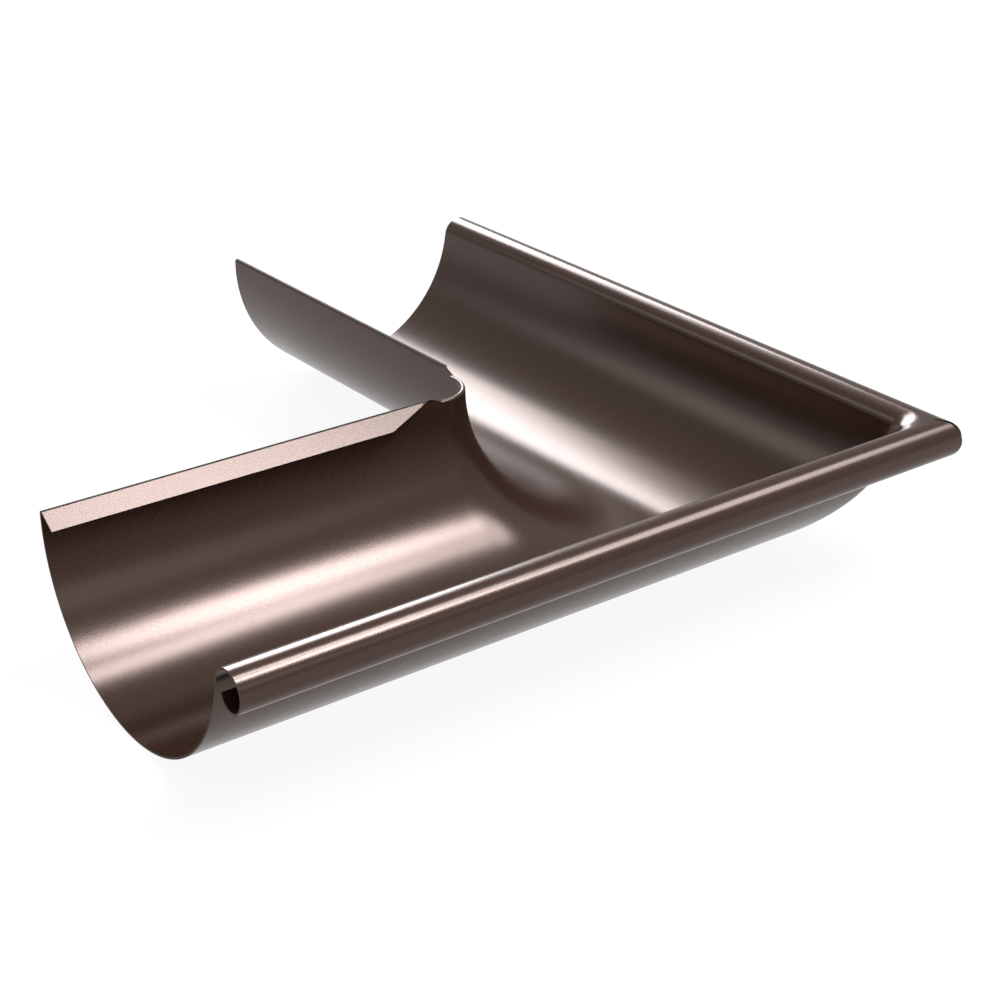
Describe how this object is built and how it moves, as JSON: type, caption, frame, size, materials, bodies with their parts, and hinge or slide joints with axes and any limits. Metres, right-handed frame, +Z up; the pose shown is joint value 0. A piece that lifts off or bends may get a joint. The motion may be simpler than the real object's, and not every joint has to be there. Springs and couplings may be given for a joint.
{
  "type": "gutter external angle",
  "caption": "One-piece drawn corner of coated sheet steel that carries a half-round roof gutter round an outside corner of a building.",
  "frame": {"origin": "middle of the part's bounding box, at the underside of the trough", "axes": "-X out of one open end, +Y out of the other, +Z up out of the trough; the drawn corner points to +X and -Y"},
  "size_m": [0.3364, 0.3364, 0.066],
  "materials": {
    "coated_steel": "dark brown satin coat with a fine grain"
  },
  "bodies": {
    "root": {"gutter_angle": "coated_steel"}
  },
  "joints": []
}
